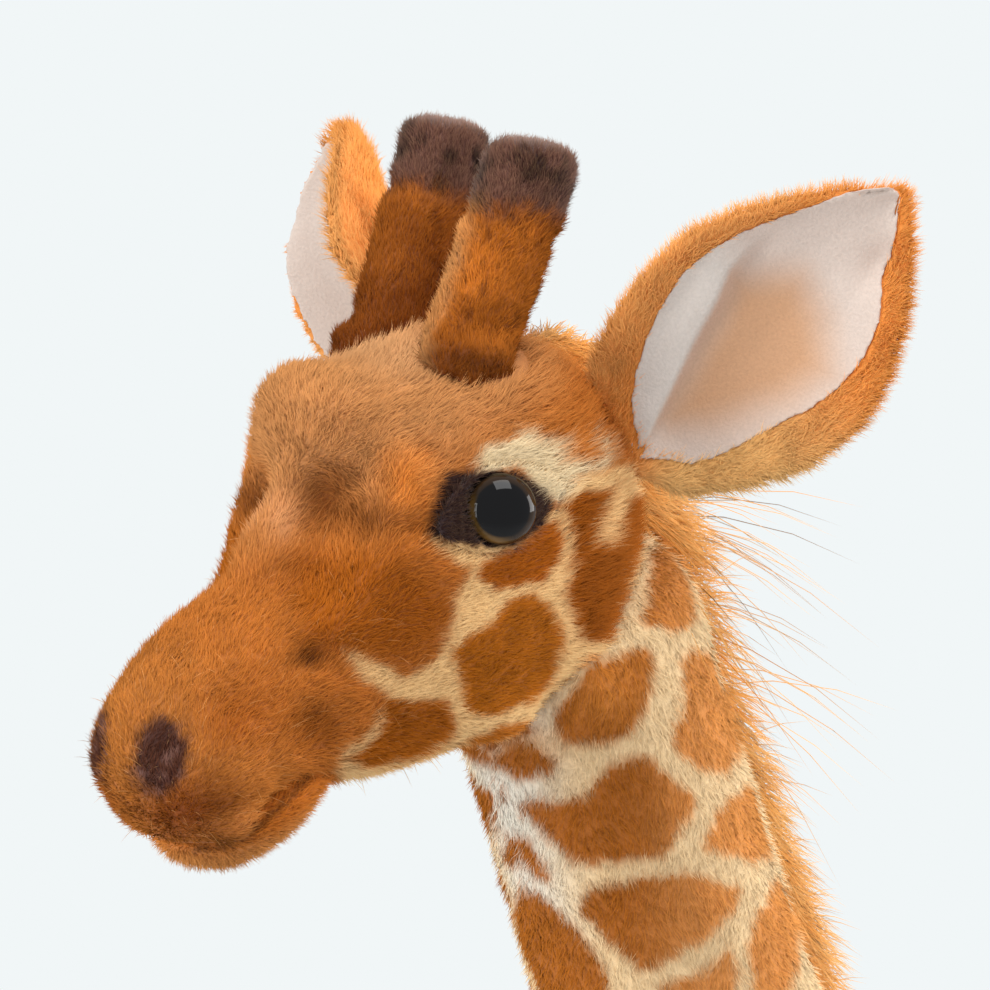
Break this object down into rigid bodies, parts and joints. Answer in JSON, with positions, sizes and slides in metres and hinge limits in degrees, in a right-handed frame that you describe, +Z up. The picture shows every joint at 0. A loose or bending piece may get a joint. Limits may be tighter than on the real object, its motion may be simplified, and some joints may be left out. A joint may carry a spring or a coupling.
{
  "type": "plush toy animal",
  "caption": "Standing plush giraffe with a long neck, blunt stuffed horns, cupped ears, domed eyes, a mane, slim legs with dark hooves and a tufted tail.",
  "frame": {"origin": "on the floor, under the middle of the toy's bounding box", "axes": "+X to the toy's left, -Y the way it looks, +Z up"},
  "size_m": [0.1726, 0.4049, 0.6102],
  "materials": {
    "coat": "short dense pile, brown patches on cream",
    "hoof_cloth": "short dark plush",
    "sole": "flat woven sole cloth over a stiffener",
    "mane": "long loose hair",
    "lining": "short smooth velour",
    "dark_plush": "short dark pile",
    "eye": "glossy, brown at the rim under a clear dome",
    "washer": "as moulded",
    "wire": "drawn wire in a thin sleeve"
  },
  "bodies": {
    "figure": {"head": "coat", "lower_jaw": "coat", "neck": "coat", "body": "coat", "mane": "mane", "front_leg_wire": "wire", "rear_leg_wire": "wire", "spine_wire": "wire", "front_leg_left": "coat", "hoof_front_left": "hoof_cloth", "hoof_sole_front_left": "sole", "rear_leg_left": "coat", "hoof_rear_left": "hoof_cloth", "hoof_sole_rear_left": "sole", "ossicone_left": "coat", "ossicone_cap_left": "dark_plush", "eye_left": "eye", "eye_washer_left": "washer", "eye_patch_left": "dark_plush", "front_leg_right": "coat", "hoof_front_right": "hoof_cloth", "hoof_sole_front_right": "sole", "rear_leg_right": "coat", "hoof_rear_right": "hoof_cloth", "hoof_sole_rear_right": "sole", "ossicone_right": "coat", "ossicone_cap_right": "dark_plush", "eye_right": "eye", "eye_washer_right": "washer", "eye_patch_right": "dark_plush"},
    "ear_left": {"ear_left": "coat", "ear_lining_left": "lining"},
    "ear_right": {"ear_right": "coat", "ear_lining_right": "lining"},
    "tail": {"tail": "coat", "tail_tuft": "dark_plush"}
  },
  "joints": [
    {"name": "ear_left_flex", "type": "hinge", "parent": "figure", "child": "ear_left", "pos_m": [0.02313, -0.07319, 0.53135], "axis": [-0.5276, -0.4443, 0.7241], "range_deg": [-20, 20], "stiffness_Nm_per_rad": 0.15},
    {"name": "ear_right_flex", "type": "hinge", "parent": "figure", "child": "ear_right", "pos_m": [-0.02445, -0.07609, 0.53435], "axis": [0.7626, -0.3612, 0.5366], "range_deg": [-20, 20], "stiffness_Nm_per_rad": 0.15},
    {"name": "tail_swing", "type": "hinge", "parent": "figure", "child": "tail", "pos_m": [0, 0.17613, 0.288], "axis": [0, 1, 0], "range_deg": [-35, 35]}
  ]
}
